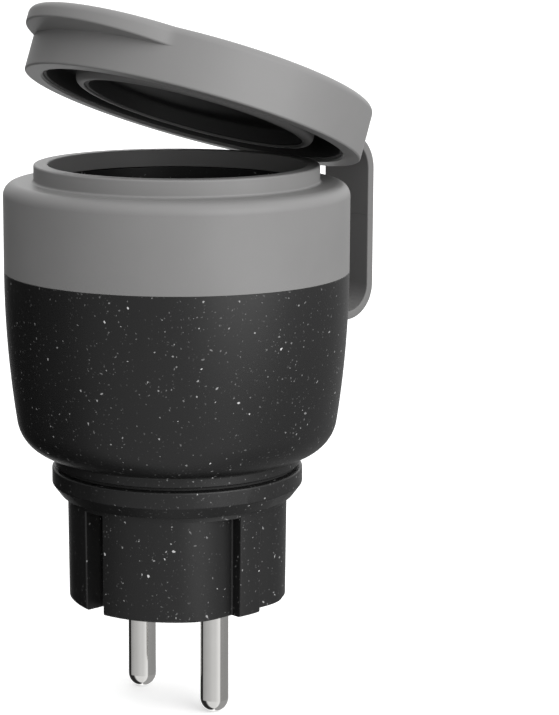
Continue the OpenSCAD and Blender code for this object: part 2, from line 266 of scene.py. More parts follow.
def cut(piece, cutters):
    """Cuts solids out of a piece and removes them."""
    piece.modifiers.clear()
    for cutter in cutters:
        cutter.modifiers.clear()
        modifier = piece.modifiers.new("cut", "BOOLEAN")
        modifier.operation = "DIFFERENCE"
        modifier.solver = "EXACT"
        modifier.object = cutter
    bpy.context.view_layer.update()
    graph = bpy.context.evaluated_depsgraph_get()
    mesh = bpy.data.meshes.new_from_object(piece.evaluated_get(graph))
    piece.modifiers.clear()
    piece.data = mesh
    for cutter in cutters:
        bpy.data.objects.remove(cutter)
    shade(piece)


# ---------------------------------------------------------------- materials


class Shader:
    """A material whose nodes are added one at a time."""

    def __init__(self, name, roughness, metallic=0.0, specular=0.5):
        self.material = bpy.data.materials.new(name)
        self.material.use_nodes = True
        self.tree = self.material.node_tree
        self.surface = self.tree.nodes["Principled BSDF"]
        self.surface.inputs["Roughness"].default_value = roughness
        self.surface.inputs["Metallic"].default_value = metallic
        self.surface.inputs["Specular IOR Level"].default_value = specular
        coordinates = self.add("ShaderNodeTexCoord")
        scaled = self.vector("SCALE", coordinates.outputs["Object"], None)
        scaled.node.inputs["Scale"].default_value = 1 / MM
        self.place = scaled

    def add(self, kind, **settings):
        made = self.tree.nodes.new(kind)
        for key, value in settings.items():
            setattr(made, key, value)
        return made

    def feed(self, socket, value):
        if value is None:
            return
        if isinstance(value, bpy.types.NodeSocket):
            self.tree.links.new(value, socket)
        else:
            socket.default_value = value

    def math(self, operation, a, b=None, c=None):
        made = self.add("ShaderNodeMath", operation=operation)
        for socket, value in zip(made.inputs, (a, b, c)):
            self.feed(socket, value)
        return made.outputs[0]

    def vector(self, operation, a, b, out=0):
        made = self.add("ShaderNodeVectorMath", operation=operation)
        for socket, value in zip(made.inputs, (a, b)):
            self.feed(socket, value)
        return made.outputs[out]

    def noise(self, size, detail=3.0, stretch=None):
        """Noise whose blobs are about size millimetres across."""
        place = self.place
        if stretch:
            place = self.vector("MULTIPLY", place, stretch)
        made = self.add("ShaderNodeTexNoise")
        self.feed(made.inputs["Vector"], place)
        made.inputs["Scale"].default_value = 1 / size
        made.inputs["Detail"].default_value = detail
        return made.outputs["Fac"]

    def ramp(self, value, low, high, to_low, to_high, smooth=False):
        made = self.add("ShaderNodeMapRange")
        made.interpolation_type = "SMOOTHSTEP" if smooth else "LINEAR"
        ends = {"From Min": low, "From Max": high, "To Min": to_low, "To Max": to_high}
        for name, amount in ends.items():
            self.feed(made.inputs[name], amount)
        self.feed(made.inputs["Value"], value)
        return made.outputs["Result"]

    def mix(self, factor, a, b):
        made = self.add("ShaderNodeMix", data_type="RGBA")
        self.feed(made.inputs[0], factor)
        for socket, colour in zip((made.inputs[6], made.inputs[7]), (a, b)):
            self.feed(socket, (*colour, 1) if isinstance(colour, tuple) else colour)
        return made.outputs[2]

    def ragged(self, size, reach):
        """The place, pushed about at random by up to reach millimetres."""
        made = self.add("ShaderNodeTexNoise")
        self.feed(made.inputs["Vector"], self.place)
        made.inputs["Scale"].default_value = 1 / size
        push = self.vector("SUBTRACT", made.outputs["Color"], (0.5, 0.5, 0.5))
        push = self.vector("MULTIPLY", push, (2 * reach,) * 3)
        return self.vector("ADD", self.place, push)

    def flakes(self, place, cell, kept, size, stretch, edge, shift):
        """A mask and a random grey for each flake: stretched blobs in random cells of a cubic grid."""
        spot = self.vector("MULTIPLY", place, (1 / cell,) * 3)
        spot = self.vector("ADD", spot, (shift, shift * 0.7, shift * 1.3))
        cells = self.add("ShaderNodeTexVoronoi", voronoi_dimensions="3D", feature="F1")
        self.feed(cells.inputs["Vector"], spot)
        cells.inputs["Scale"].default_value = 1.0
        parts = self.add("ShaderNodeSeparateColor")
        self.feed(parts.inputs[0], cells.outputs["Color"])
        heading = self.vector("SUBTRACT", cells.outputs["Color"], (0.5, 0.5, 0.5))
        heading = self.vector("NORMALIZE", heading, None)
        reach = self.vector("SUBTRACT", spot, cells.outputs["Position"])
        along = self.vector("DOT_PRODUCT", reach, heading, out=1)
        pulled = self.vector("SCALE", heading, None)
        self.feed(pulled.node.inputs["Scale"], self.math("MULTIPLY", along, 1 - 1 / stretch))
        reach = self.vector("SUBTRACT", reach, pulled)
        distance = self.math("MULTIPLY", self.vector("LENGTH", reach, None, out=1), cell)
        radius = self.math("MULTIPLY_ADD", parts.outputs[1], size * 0.7, size * 0.45)
        gap = self.math("SUBTRACT", radius, distance)
        mask = self.ramp(gap, 0.0, edge, 0.0, 1.0, smooth=True)
        shown = self.math("LESS_THAN", parts.outputs[0], kept)
        return self.math("MULTIPLY", mask, shown), parts.outputs[2]

    def bump(self, height, distance, strength):
        made = self.add("ShaderNodeBump")
        made.inputs["Strength"].default_value = strength
        made.inputs["Distance"].default_value = distance * MM
        self.feed(made.inputs["Height"], height)
        self.feed(self.surface.inputs["Normal"], made.outputs[0])

    def colour(self, value):
        self.feed(self.surface.inputs["Base Color"], value)

    def roughness(self, value):
        self.feed(self.surface.inputs["Roughness"], value)


def grey(level):
    return (level, level, level)


def speckled_plastic():
    """Black moulded plastic with pale mineral flakes in four sizes, crowded in some places.

    Each layer is (cell, kept, size, stretch, edge, shift, dark, pale): the grid's pitch in
    millimetres, the share of its cells that hold a flake, the flake's size, stretch and soft
    edge, the grid's offset, and the darkest and palest grey. Only the largest flakes are raised.
    """
    shader = Shader("speckled_black_plastic", 0.46, specular=0.42)
    clouds = shader.noise(9.0, detail=2.0)
    grain = shader.noise(0.22, detail=2.0)
    colour = shader.mix(clouds, (0.0055, 0.0055, 0.0057), (0.0080, 0.0079, 0.0080))
    layers = (
        (0.70, 0.85, 0.140, 2.2, 0.10, 3.1, 0.022, 0.060),
        (0.85, 0.75, 0.140, 2.5, 0.08, 29.3, 0.050, 0.160),
        (1.40, 0.80, 0.170, 2.2, 0.08, 17.7, 0.100, 0.380),
        (2.60, 0.75, 0.190, 1.9, 0.07, 41.3, 0.300, 0.750),
    )
    height = shader.math("MULTIPLY", grain, 0.35)
    crowd = shader.ramp(shader.noise(5.0, detail=1.0), 0.35, 0.65, 0.45, 1.25)
    place = shader.ragged(0.35, 0.22)
    for cell, kept, size, stretch, edge, shift, dark, pale in layers:
        kept = shader.math("MULTIPLY", crowd, kept)
        mask, shade_of = shader.flakes(place, cell, kept, size, stretch, edge, shift)
        flake = shader.mix(shade_of, grey(dark), grey(pale))
        colour = shader.mix(mask, colour, flake)
    height = shader.math("ADD", height, shader.math("MULTIPLY", mask, 0.5))
    shader.colour(colour)
    shader.roughness(shader.ramp(grain, 0.3, 0.7, 0.37, 0.46))
    shader.bump(height, 0.02, 0.5)
    return shader.material


def satin_plastic(name, dark, pale, roughness=0.46, specular=0.4):
    """Fine-grained satin plastic with faint cloudiness."""
    shader = Shader(name, roughness, specular=specular)
    clouds = shader.noise(14.0, detail=3.0)
    grain = shader.noise(0.16, detail=2.0)
    colour = shader.mix(shader.ramp(clouds, 0.3, 0.7, 0.0, 1.0), dark, pale)
    worn = shader.mix(shader.ramp(grain, 0.2, 0.8, 0.0, 0.015), colour, grey(0.9))
    shader.colour(worn)
    shader.roughness(shader.ramp(grain, 0.25, 0.75, roughness - 0.03, roughness + 0.03))
    shader.bump(grain, 0.010, 0.15)
    return shader.material


def turned_metal(name, dark, pale, roughness=0.09, stretch=(0.06, 0.06, 1.0), size=0.09, stain=0.15):
    """Plated metal with fine turning marks and a little staining."""
    shader = Shader(name, roughness, metallic=1.0)
    marks = shader.noise(size, detail=3.0, stretch=stretch)
    stains = shader.noise(3.5, detail=4.0)
    shader.colour(shader.mix(shader.ramp(stains, 0.35, 0.7, 0.0, stain), pale, dark))
    rough = shader.math("ADD", shader.ramp(marks, 0.2, 0.8, -0.02, 0.02), roughness)
    shader.roughness(shader.math("ADD", rough, shader.ramp(stains, 0.5, 0.8, 0.0, stain * 0.2)))
    shader.bump(marks, 0.002, 0.2)
    return shader.material


def circuit_board():
    """Green solder mask over faint copper traces."""
    shader = Shader("circuit_board_mask", 0.35, specular=0.5)
    weave = shader.noise(0.5, detail=2.0)
    traces = shader.add("ShaderNodeTexVoronoi", feature="DISTANCE_TO_EDGE")
    shader.feed(traces.inputs["Vector"], shader.place)
    traces.inputs["Scale"].default_value = 0.35
    track = shader.ramp(traces.outputs["Distance"], 0.03, 0.05, 1.0, 0.0)
    base = shader.mix(weave, (0.006, 0.060, 0.026), (0.010, 0.090, 0.040))
    shader.colour(shader.mix(track, base, (0.025, 0.150, 0.060)))
    shader.bump(track, 0.03, 0.5)
    return shader.material


def banded_part(name, body, band, pitch):
    """A component's coat with thin bands along its height, as wound wire or a printed stripe shows."""
    shader = Shader(name, 0.38, specular=0.5)
    axes = shader.add("ShaderNodeSeparateXYZ")
    shader.feed(axes.inputs[0], shader.place)
    phase = shader.math("SINE", shader.math("MULTIPLY", axes.outputs[2], 2 * math.pi / pitch))
    mottle = shader.noise(1.2, detail=2.0)
    stripes = shader.math("MULTIPLY", shader.ramp(phase, -0.6, 0.6, 0.0, 1.0), 0.7)
    stripes = shader.math("ADD", stripes, shader.math("MULTIPLY", mottle, 0.3))
    shader.colour(shader.mix(stripes, body, band))
    shader.bump(phase, 0.03, 0.5)
    return shader.material


M_BLACK = speckled_plastic()
M_GREY = satin_plastic("soft_grey_plastic", (0.191, 0.189, 0.188), (0.205, 0.203, 0.202))
# A darker copy of the lid's grey plastic. It is painted shade that stands in for the shade on the strap's
# inner face, and the lid's ring takes it too.
M_GREY_PAINTED_SHADE = satin_plastic(
    "soft_grey_painted_shade", (0.152, 0.150, 0.149), (0.166, 0.164, 0.163), roughness=0.55
)
M_LINING = satin_plastic("lining_rubber", grey(0.023), grey(0.029), roughness=0.68, specular=0.5)
M_RUBBER = satin_plastic("black_rubber", grey(0.011), grey(0.016), roughness=0.52, specular=0.35)
M_SEAL = satin_plastic("seal_rubber", grey(0.008), grey(0.012), roughness=0.6, specular=0.3)
M_NICKEL = turned_metal("nickel_plate", (0.70, 0.68, 0.65), (0.87, 0.86, 0.84))
M_SHEET = turned_metal(
    "nickel_sheet",
    (0.52, 0.51, 0.49),
    (0.68, 0.67, 0.65),
    roughness=0.27,
    stretch=(0.05, 1.0, 1.0),
    size=0.2,
    stain=0.6,
)
M_COPPER = turned_metal(
    "copper_contact", (0.55, 0.27, 0.13), (0.80, 0.46, 0.26), roughness=0.25, stain=1.0
)
M_IVORY = satin_plastic("ivory_plastic", (0.60, 0.58, 0.52), (0.68, 0.66, 0.60))
M_BOARD = circuit_board()
M_CASE = satin_plastic("component_case", grey(0.018), grey(0.030), roughness=0.42)
M_WINDING = banded_part("winding_tape", (0.62, 0.44, 0.05), (0.75, 0.58, 0.10), 0.8)
M_WIRE = banded_part("choke_winding", (0.20, 0.07, 0.03), (0.42, 0.17, 0.07), 0.7)
M_SLEEVE = banded_part("capacitor_sleeve", (0.010, 0.012, 0.050), (0.016, 0.020, 0.075), 5.0)
M_VARISTOR = satin_plastic(
    "varistor_coat", (0.010, 0.060, 0.260), (0.016, 0.085, 0.340), roughness=0.3
)
M_CERAMIC = satin_plastic(
    "fuse_ceramic", (0.52, 0.47, 0.38), (0.60, 0.56, 0.46), roughness=0.35
)


def dress(piece, material, body, slot, *nodes):
    """Gives a piece its material and its body, and hides the CAD nodes that it stands for. The slot is not
    used.
    """
    piece.data.materials.clear()
    piece.data.materials.append(material)
    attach(piece, body)
    if nodes:
        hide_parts(*nodes)


# ------------------------------------------------------------------ housing


def bowl_outline():
    """The bowl's wall, its neck and the lip inside the collar, from the outer top edge down and round."""
    axis_r = BODY_R - BOWL_CURVE_R
    corner_z = BOWL_Z0 + BOWL_CORNER_R
    inner_r = BOWL_CURVE_R - BOWL_CORNER_R
    corner_r = axis_r + math.sqrt(inner_r**2 - (COLLAR_Z0 - corner_z) ** 2)
    top_angle = -math.degrees(math.asin((COLLAR_Z0 - BOWL_Z1 + BOWL_EDGE_R) / BOWL_CURVE_R))
    low_angle = -math.degrees(math.asin((COLLAR_Z0 - corner_z) / inner_r))

    def side(inset):
        return arc((axis_r, COLLAR_Z0), BOWL_CURVE_R - inset, top_angle, low_angle, 40) + arc(
            (corner_r, corner_z), BOWL_CORNER_R - inset, low_angle, -90, 16
        )

    side_r = BODY_R - 0.001
    edge = rounded([(BODY_R - 1, BOWL_Z1), (side_r, BOWL_Z1, BOWL_EDGE_R), (side_r, BOWL_Z1 - 1)], False)
    neck = rounded(
        [
            (NECK_R + 2, BOWL_Z0),
            (NECK_R, BOWL_Z0, 0.45),
            (NECK_R, bowl_low.z, 0.2),
            (NECK_IN_R, bowl_low.z, 0.1),
            (NECK_IN_R, BOWL_Z0),
            (FLOOR_HOLE_R, BOWL_Z0),
            (FLOOR_HOLE_R, BOWL_Z0 + SHELL_WALL),
        ],
        closed=False,
    )
    ledge_z = BOWL_Z1 - LEDGE
    inside = [spot for spot in reversed(side(SHELL_WALL)) if spot[1] < ledge_z]
    groove_z0, groove_z1 = SEAL_GROOVE_Z
    lip = [
        (LIP_R - LIP_WALL, ledge_z),
        (LIP_R - LIP_WALL, bowl_high.z),
        (LIP_R, bowl_high.z),
        (LIP_R, groove_z1),
        (LIP_R - SEAL_GROOVE_DEPTH, groove_z1),
        (LIP_R - SEAL_GROOVE_DEPTH, groove_z0),
        (LIP_R, groove_z0),
        (LIP_R, BOWL_Z1),
    ]
    return edge[:-1] + side(0) + neck[1:] + inside + [(inside[-1][0], ledge_z)] + lip


def make_bowl():
    """The speckled bowl with its neck, the button's hole and the strap's slot."""
    bowl = lathe("bowl", bowl_outline())
    button_z = (button_low.z + button_high.z) / 2
    to_side = Matrix.Translation((0, 0, button_z)) @ Matrix.Rotation(-math.pi / 2, 4, "Y")
    near, far = 24, 32
    bore = [(0, near), (BUTTON_HOLE_R, near), (BUTTON_HOLE_R, far), (0, far)]
    hole = lathe("button_hole", bore, False, to_side, 96)
    slack = 0.05
    half_t = STRAP_T / 2 + slack
    slot = block(
        "strap_slot",
        (-STRAP_W / 2 - slack, 23, STRAP_FOOT.y - half_t),
        (STRAP_W / 2 + slack, 31, STRAP_FOOT.y + half_t),
    )
    cut(bowl, [hole, slot])
    dress(bowl, M_BLACK, "housing", "speckled_plastic", "body_shell")


def make_collar():
    """The grey collar: shoulder, raised rim and the step that the cup sits under."""
    step_r = CUP_R + 1.6
    outline = rounded(
        [
            (BODY_R - 1.9, COLLAR_Z0),
            (BODY_R, COLLAR_Z0, 0.08),
            (BODY_R, SHOULDER_Z, 2.2),
            (RIM_R, SHOULDER_Z, 0.45),
            (RIM_R, RIM_Z, 0.35),
            (CUP_R, RIM_Z, 0.25),
            (CUP_R, SHOULDER_Z, 0.1),
            (step_r, SHOULDER_Z),
            (step_r, SHOULDER_Z - 1.8),
            (BODY_R - 1.9, SHOULDER_Z - 1.8),
        ]
    )
    dress(lathe("collar_band", outline), M_GREY, "housing", "grey_plastic", "collar")


def make_cup():
    """The socket's cup, with chamfered pin holes and the two slots of the earth clips."""
    floor_z = RIM_Z - CUP_DEPTH
    under_z = floor_z - 1.5
    outer_r = cup_high.x
    hole_r, mouth_r, chamfer = 2.7, 3.05, 0.35
    clip_y, slot_half_x, slot_half_y = 20.2, 3.2, 1.1
    slot_z = (cup_low.z + 1.0 - 3, 62)
    outline = rounded(
        [
            (0, floor_z),
            (CUP_R, floor_z, 0.6),
            (CUP_R, cup_high.z, 0.15),
            (outer_r, cup_high.z),
            (outer_r, under_z),
            (2.0, under_z),
            (2.0, cup_low.z, 0.2),
            (0, cup_low.z),
        ],
        closed=False,
    )
    cup = lathe("cup_lining", outline, wrap=False)
    cutters = []
    for side in (-1, 1):
        place = Matrix.Translation((side * PIN_X, 0, 0))
        funnel = [
            (0, floor_z - 5),
            (hole_r, floor_z - 5),
            (hole_r, floor_z - chamfer),
            (mouth_r, floor_z),
            (mouth_r, floor_z + 1),
            (0, floor_z + 1),
        ]
        cutters.append(lathe("pin_hole", funnel, False, place, 64))
        low = (-slot_half_x, side * clip_y - slot_half_y, slot_z[0])
        high = (slot_half_x, side * clip_y + slot_half_y, slot_z[1])
        cutters.append(block("clip_slot", low, high))
    cut(cup, cutters)
    dress(cup, M_BLACK, "housing", "speckled_plastic", "socket_cup")


# --------------------------------------------------------------------- plug


def plug_section():
    """The plug's cross-section: a circle with two ribbed flats at +-X and two earth slots at +-Y.

    Each flat runs into the circle by an arc that touches both.
    """
    corner = 0.25
    slot_edge = math.sqrt(PLUG_R**2 - SLOT_HALF**2)
    rib_edge = math.sqrt(PLUG_R**2 - RIB_HALF**2)
    blend_r = (PLUG_R + FLAT_X - FLAT_END_Y**2 / (PLUG_R - FLAT_X)) / 2
    blend_end = math.degrees(math.atan2(FLAT_END_Y, FLAT_X - blend_r))
    blend = arc((FLAT_X - blend_r, FLAT_END_Y), blend_r, 0, blend_end, 18)
    end = math.degrees(math.acos(SLOT_HALF / PLUG_R))
    trim = 0.8
    front = arc((0, 0), PLUG_R, blend_end + 1.5, end - trim, 36)
    quarter = rounded(
        [
            (PLUG_R, 0),
            (rib_edge, RIB_HALF, corner),
            (FLAT_X, RIB_HALF, corner),
            (FLAT_X, FLAT_END_Y),
        ],
        closed=False,
        step=18,
    )[1:-1]
    quarter += blend + front
    quarter += rounded(
        [front[-1], (SLOT_HALF, slot_edge, corner), (SLOT_HALF, SLOT_FLOOR, 0.15), (0, SLOT_FLOOR)],
        closed=False,
        step=18,
    )[1:-1]
    rib_face = arc((0, 0), PLUG_R, 0, math.degrees(math.asin((RIB_HALF - 0.3) / PLUG_R)), 4)
    quarter = rib_face[:-1] + quarter
    left = [(-x, y) for x, y in reversed(quarter[1:])]
    upper = quarter + [(0, SLOT_FLOOR)] + left + [(-PLUG_R, 0)]
    return upper + [(x, -y) for x, y in reversed(upper[1:-1])]


def make_plug():
    """The plug's body: the section below, a full circle above, then the flange and its neck."""
    section = plug_section()
    chamfer = 0.35
    nick = 0.1
    neck_r = NECK_IN_R - 0.1

    def pulled(radius_of, height):
        ring = []
        for x, y in section:
            reach = math.hypot(x, y)
            radius = radius_of(reach)
            ring.append((x * radius / reach, y * radius / reach, height))
        return ring

    def leaning(height):
        def radius_of(reach):
            share = min(1.0, max(0.0, (reach - FLAT_X) / (PLUG_R - FLAT_X)))
            return reach + PLUG_LEAN * share * height / DROP_Z

        return pulled(radius_of, height)

    rings = [
        pulled(lambda reach: min(reach - nick, PLUG_R - chamfer), 0.0),
        pulled(lambda reach: min(reach, PLUG_R - chamfer + nick), nick),
        pulled(lambda reach: min(reach, PLUG_R), chamfer),
    ]
    rings += [leaning(DROP_Z * i / 6) for i in range(1, 7)]
    above = rounded(
        [
            (PLUG_R + PLUG_LEAN, DROP_Z),
            (PLUG_R + PLUG_LEAN, FLANGE_Z0, 0.15),
            (FLANGE_R - FLANGE_BEVEL, FLANGE_Z0, 0.15),
            (FLANGE_R, FLANGE_SIDE_Z0, 0.4),
            (FLANGE_R, FLANGE_Z1, 0.4),
            (neck_r, FLANGE_Z1),
            (neck_r, base_high.z),
        ],
        closed=False,
    )
    for radius, height in above:
        rings.append(pulled(lambda reach, radius=radius: radius, height))
    base = loft("plug_foot", rings, sharp=30)
    dress(base, M_BLACK, "housing", "speckled_plastic", "plug_base")


def make_pins():
    """The two round pins, with round tips and a collar inside the housing."""
    collar_r, collar_z0, collar_z1 = 3.6, 25.4, 26.6
    tip = arc((0, pin_low.z + PIN_R), PIN_R, -90, 0, 16)
    head = [
        (PIN_R, collar_z0),
        (collar_r, collar_z0),
        (collar_r, collar_z1),
        (PIN_R, collar_z1),
        (PIN_R, pin_high.z),
        (0, pin_high.z),
    ]
    for name, side in (("pin_line", 1), ("pin_neutral", -1)):
        place = Matrix.Translation((side * PIN_X, 0, 0))
        pin = lathe(name + "_turned", tip + head, False, place, 96)
        dress(pin, M_NICKEL, "housing", "nickel", name)


# ---------------------------------------------------------------------- lid


def tab_radius(angle):
    """The lid's radius with its finger tab, at an angle from -Y. The tab is part of a smaller circle."""
    far = BODY_R + TAB_REACH
    side = BODY_R * math.cos(TAB_HALF_ANGLE)
    shift = (far**2 - BODY_R**2) / (2 * (far - side))
    beside_tab = math.radians(8)
    if abs(angle) > TAB_HALF_ANGLE + beside_tab:
        return BODY_R
    reach = shift * math.cos(angle) + math.sqrt((far - shift) ** 2 - (shift * math.sin(angle)) ** 2)
    over = reach - BODY_R
    softness = 0.22
    return BODY_R + max(0.0, (over + math.hypot(over, softness)) / 2 - 0.02)


def make_lid():
    """The lid: a shallow cap whose wall steps out into a finger tab at -Y."""
    count = 288
    angles = [2 * math.pi * i / count for i in range(count)]
    fillet = arc((0, 0), LID_FILLET, 0, 90, 10)
    tab_edge = 0.3
    chamfer_r = SKIRT_IN_R + 0.3

    def ring(radius_of, height, slope=0.0):
        spots = []
        for angle in angles:
            radius = radius_of(angle)
            rise = slope * (radius - BODY_R)
            spots.append((radius * math.sin(angle), -radius * math.cos(angle), height + rise))
        return spots

    def reach(angle):
        return tab_radius((angle + math.pi) % (2 * math.pi) - math.pi)

    def plain(radius):
        return lambda angle: radius

    rings = [
        ring(plain(SKIRT_IN_R), LID_H - 2),
        ring(plain(SKIRT_IN_R), 0.3),
        ring(plain(chamfer_r), 0),
    ]
    for x, z in rounded([(chamfer_r, 0), (BODY_R, 0, 0.35), (BODY_R, TAB_Z)], False)[1:]:
        rings.append(ring(plain(x), z))
    for a in (0, 22.5, 45, 67.5, 90):
        turn = math.radians(a)
        inset = tab_edge * (1 - math.sin(turn))
        rise = tab_edge * (1 - math.cos(turn))
        rings.append(
            ring(lambda t, inset=inset: max(BODY_R, reach(t) - inset), TAB_Z + rise, TAB_SLOPE)
        )
    for x, z in fillet:
        rings.append(ring(lambda t, x=x: reach(t) - LID_FILLET + x, LID_H - LID_FILLET + z))
    for inner in (24.0, 12.0, 4.0):
        rings.append(ring(plain(inner), LID_H))
    lid = loft("lid_cap", rings, place=lid_matrix(), sharp=35)
    dress(lid, M_GREY, "lid_body", "grey_plastic", "lid")


def make_lining():
    """The black lining under the lid: the groove over the rim and the dished middle."""
    gap = 0.05
    back = LID_H - 2.05
    dish_r, dish_z = RING_IN_R - 0.7, GROOVE_H - 0.5
    seat_z = GROOVE_H + 0.65
    outline = rounded(
        [
            (0, back),
            (0, dish_z),
            (dish_r, dish_z, 0.7),
            (dish_r, 0.7, 0.2),
            (RING_IN_R - gap, 0.7),
            (RING_IN_R - gap, seat_z),
            (RING_R + gap, seat_z),
            (RING_R + gap, GROOVE_H),
            (SLEEVE_R, GROOVE_H, 0.4),
            (SLEEVE_R, 0.5, 0.2),
            (SKIRT_IN_R - gap, 0.5),
            (SKIRT_IN_R - gap, back),
        ],
        closed=False,
    )
    lining = lathe("lid_lining", outline, False, lid_matrix())
    dress(lining, M_LINING, "lid_body", "black_rubber", "lid_liner")


def make_ring():
    """The grey lip that presses on the inside of the rim when the lid is shut."""
    edge_z, foot_z = 0.4, GROOVE_H + 0.6
    outline = rounded(
        [
            (RING_IN_R, edge_z, 0.25),
            (RING_R, edge_z, 1.2),
            (RING_R, foot_z),
            (RING_IN_R, foot_z),
        ]
    )
    ring = lathe("lid_ring", outline, True, lid_matrix())
    # The ring takes the darker grey with painted shade.
    dress(ring, M_GREY_PAINTED_SHADE, "lid_body", "grey_rubber", "lid_seal")


# -------------------------------------------------------------------- strap


def strap_line():
    """The strap's centre line in (Y, Z), from inside the bowl's wall to the lid's wall."""
    turn = 90 - math.degrees(LID_TILT)
    knee_y = STRAP_Y - STRAP_BEND_HIGH * (1 - math.cos(math.radians(turn)))
    knee_z = STRAP_HEAD.y - (knee_y - STRAP_HEAD.x) * math.tan(LID_TILT)
    high_z = knee_z - STRAP_BEND_HIGH * math.sin(math.radians(turn))
    high_centre = (STRAP_Y - STRAP_BEND_HIGH, high_z)
    low_centre = (STRAP_Y - STRAP_BEND_LOW, STRAP_FOOT.y + STRAP_BEND_LOW)
    into_lid = STRAP_HEAD + Vector((-math.cos(LID_TILT), math.sin(LID_TILT))) * 1.0
    line = [(anchor_low.y + 2, STRAP_FOOT.y)]
    line += arc(low_centre, STRAP_BEND_LOW, -90, 0, 24)
    line += arc(high_centre, STRAP_BEND_HIGH, 0, turn, 24)
    line.append(tuple(into_lid))
    return [Vector(spot) for spot in line]


def resample(line, pitch):
    """Points about every pitch along a line."""
    spots = [line[0]]
    for a, b in zip(line, line[1:]):
        steps = max(1, round((b - a).length / pitch))
        spots += [a.lerp(b, k / steps) for k in range(1, steps + 1)]
    return spots


def band(name, line):
    """A band with rounded edges, swept along a line in the Y-Z plane."""
    half_w, half_t = STRAP_W / 2, STRAP_T / 2
    edge = 0.22
    section = rounded(
        [
            (half_w, -half_t, edge),
            (half_w, half_t, edge),
            (-half_w, half_t, edge),
            (-half_w, -half_t, edge),
        ],
        step=22,
    )
    rings = []
    for i, spot in enumerate(line):
        ahead = (line[min(i + 1, len(line) - 1)] - line[max(i - 1, 0)]).normalized()
        side = Vector((-ahead.y, ahead.x))
        rings.append([(x, spot.x + side.x * t, spot.y + side.y * t) for x, t in section])
    return loft(name, rings, sharp=40)


def make_strap():
    """The strap as two lengths that meet at its moulded crease. Each bends where it joins its neighbour."""
    line = resample(strap_line(), 0.5)
    crease = 0.012
    low = [spot for spot in line if spot.y < CREASE_Z - crease]
    high = [spot for spot in line if spot.y > CREASE_Z + crease]
    low.append(Vector((STRAP_Y, CREASE_Z - crease)))
    high.insert(0, Vector((STRAP_Y, CREASE_Z + crease)))
    lower = band("strap_lower", low)
    upper = band("strap_upper", high)
    # The strap's darker grey is painted shade.
    for piece in (lower, upper):
        piece.data.materials.append(M_GREY_PAINTED_SHADE)
    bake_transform(lower)
    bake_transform(upper)
    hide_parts("strap", "strap_anchor")


# ------------------------------------------------------------------- button


def make_button():
    """The round button on the bowl's side: a shallow dish in its face and a flange behind the wall."""
    middle_z = (button_low.z + button_high.z) / 2
    face = -button_low.x
    back = -button_high.x
    cap_r, flange_r, stem_r = 4.0, 4.7, 1.4
    flange_x0, flange_x1 = 24.5, 25.3
    outline = rounded(
        [
            (0, face - 0.25),
            (2.6, face - 0.25, 6.0),
            (3.4, face, 0.3),
            (cap_r, face - 0.5, 0.35),
            (cap_r, flange_x1, 0.1),
            (flange_r, flange_x1, 0.1),
            (flange_r, flange_x0),
            (stem_r, flange_x0),
            (stem_r, back),
            (0, back),
        ],
        closed=False,
    )
    to_side = Matrix.Translation((0, 0, middle_z)) @ Matrix.Rotation(-math.pi / 2, 4, "Y")
    button = lathe("button_cap", outline, False, to_side, 96)
    dress(button, M_RUBBER, "button_body", "black_rubber", "button")


make_bowl()
make_collar()
make_cup()
make_plug()
make_pins()
make_lid()
make_lining()
make_ring()
make_strap()
make_button()

# ------------------------------------------- CAD pieces that keep their shape

KEPT = {
    M_SEAL: ("collar_seal", "neck_seal"),
    M_SHEET: ("plug_earth_strips", "earth_bridge", "shutter_spring"),
    M_NICKEL: ("housing_screws", "board_screws", "switch_plunger"),
    M_COPPER: (
        "earth_link",
        "contact_line",
        "contact_neutral",
        "line_busbar",
        "neutral_busbar",
        "current_shunt",
    ),
    M_IVORY: ("shutter", "contact_carrier"),
    M_BOARD: ("main_board", "radio_module"),
    M_CASE: ("relay", "metering_chip", "switch_body"),
    M_WINDING: ("transformer",),
    M_WIRE: ("choke",),
    M_SLEEVE: ("filter_capacitor",),
    M_VARISTOR: ("surge_varistor",),
    M_CERAMIC: ("fuse",),
}
for material, names in KEPT.items():
    for name in names:
        for slot in frame["nodes"][name].material_slots:
            slot.material = material

# ------------------------------------------------------------------- studio

CAMERA_AZIMUTH = math.radians(-41.2)


def make_floor():
    """A plain pale floor at the pins' tips. It takes shadows but throws no light back."""
    bm = bmesh.new()
    bmesh.ops.create_grid(bm, x_segments=8, y_segments=8, size=9000)
    for vert in bm.verts:
        vert.co.z = pin_low.z - 0.02
    floor = finish_piece("floor", bm)
    floor.modifiers.clear()
    shader = Shader("pale_floor", 0.9, specular=0.0)
    shader.colour(shader.mix(shader.noise(400.0), grey(0.90), grey(0.92)))
    shader.surface.inputs["Emission Color"].default_value = (1, 1, 1, 1)
    shader.surface.inputs["Emission Strength"].default_value = 0.32
    floor.data.materials.append(shader.material)
    floor.visible_diffuse = False
    floor.visible_glossy = False


def area_light(name, place, aim, size, power):
    """A square soft light, in metres and watts."""
    data = bpy.data.lights.new(name, "AREA")
    data.size = size
    data.energy = power
    light = bpy.data.objects.new(name, data)
    light.location = place
    light.rotation_euler = (Vector(aim) - Vector(place)).to_track_quat("-Z", "Y").to_euler()
    bpy.context.scene.collection.objects.link(light)


